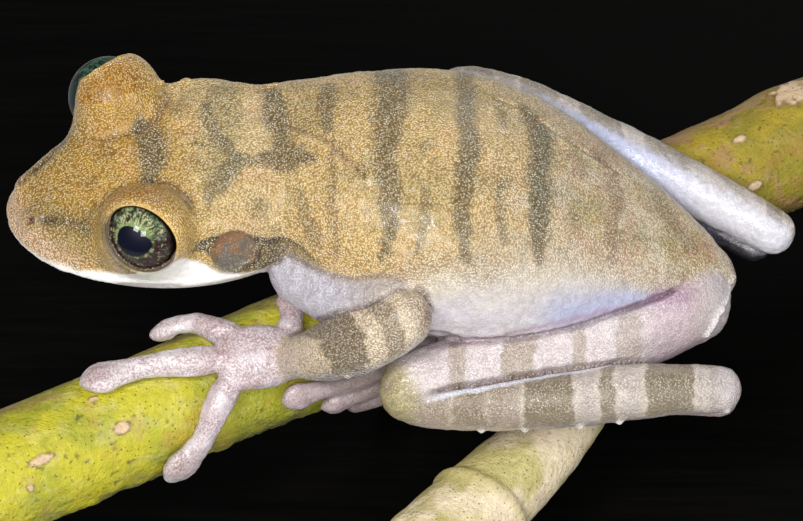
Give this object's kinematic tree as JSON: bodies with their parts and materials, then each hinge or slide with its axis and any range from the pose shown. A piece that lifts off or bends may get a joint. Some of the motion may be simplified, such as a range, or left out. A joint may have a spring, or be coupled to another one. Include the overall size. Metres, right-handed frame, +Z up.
{
  "type": "tree frog model on a branch perch",
  "caption": "Life-size still model of an olive, dark-banded tree frog gripping a cut green branch, held on short rods over a flat base.",
  "frame": {"origin": "middle of the base's underside, which is also the middle of the model's box", "axes": "+Z up, -X the way the frog's snout points, -Y the frog's left side, which the picture shows"},
  "size_m": [0.088, 0.076, 0.0377],
  "materials": {
    "back_skin": "moist granular skin, golden olive with dark bars",
    "pale_skin": "moist thin skin, pinkish white",
    "eye": "wet, green-gold iris with dark net",
    "eardrum": "smooth taut membrane",
    "green_bark": "young yellow-green bark with pale corky spots",
    "stand_plate": "black stained, satin",
    "stand_steel": "brushed"
  },
  "bodies": {
    "root": {"torso": "back_skin", "head": "back_skin", "jaw": "pale_skin", "eye_l": "eye", "eye_r": "eye", "ear_l": "eardrum", "ear_r": "eardrum", "upper_arm_l": "back_skin", "forearm_l": "back_skin", "hand_l": "pale_skin", "finger_1_l": "pale_skin", "finger_2_l": "pale_skin", "finger_3_l": "pale_skin", "finger_4_l": "pale_skin", "upper_arm_r": "back_skin", "forearm_r": "back_skin", "hand_r": "pale_skin", "finger_1_r": "pale_skin", "finger_2_r": "pale_skin", "finger_3_r": "pale_skin", "finger_4_r": "pale_skin", "thigh_l": "back_skin", "shank_l": "back_skin", "tarsus_l": "pale_skin", "foot_l": "pale_skin", "toe_1_l": "pale_skin", "toe_2_l": "pale_skin", "toe_3_l": "pale_skin", "toe_4_l": "pale_skin", "toe_5_l": "pale_skin", "thigh_r": "back_skin", "shank_r": "back_skin", "tarsus_r": "pale_skin", "foot_r": "pale_skin", "toe_1_r": "pale_skin", "toe_2_r": "pale_skin", "toe_3_r": "pale_skin", "toe_4_r": "pale_skin", "toe_5_r": "pale_skin", "perch_branch": "green_bark", "perch_stem": "green_bark", "stand_base": "stand_plate", "stand_rod_a": "stand_steel", "stand_rod_b": "stand_steel"}
  },
  "joints": []
}
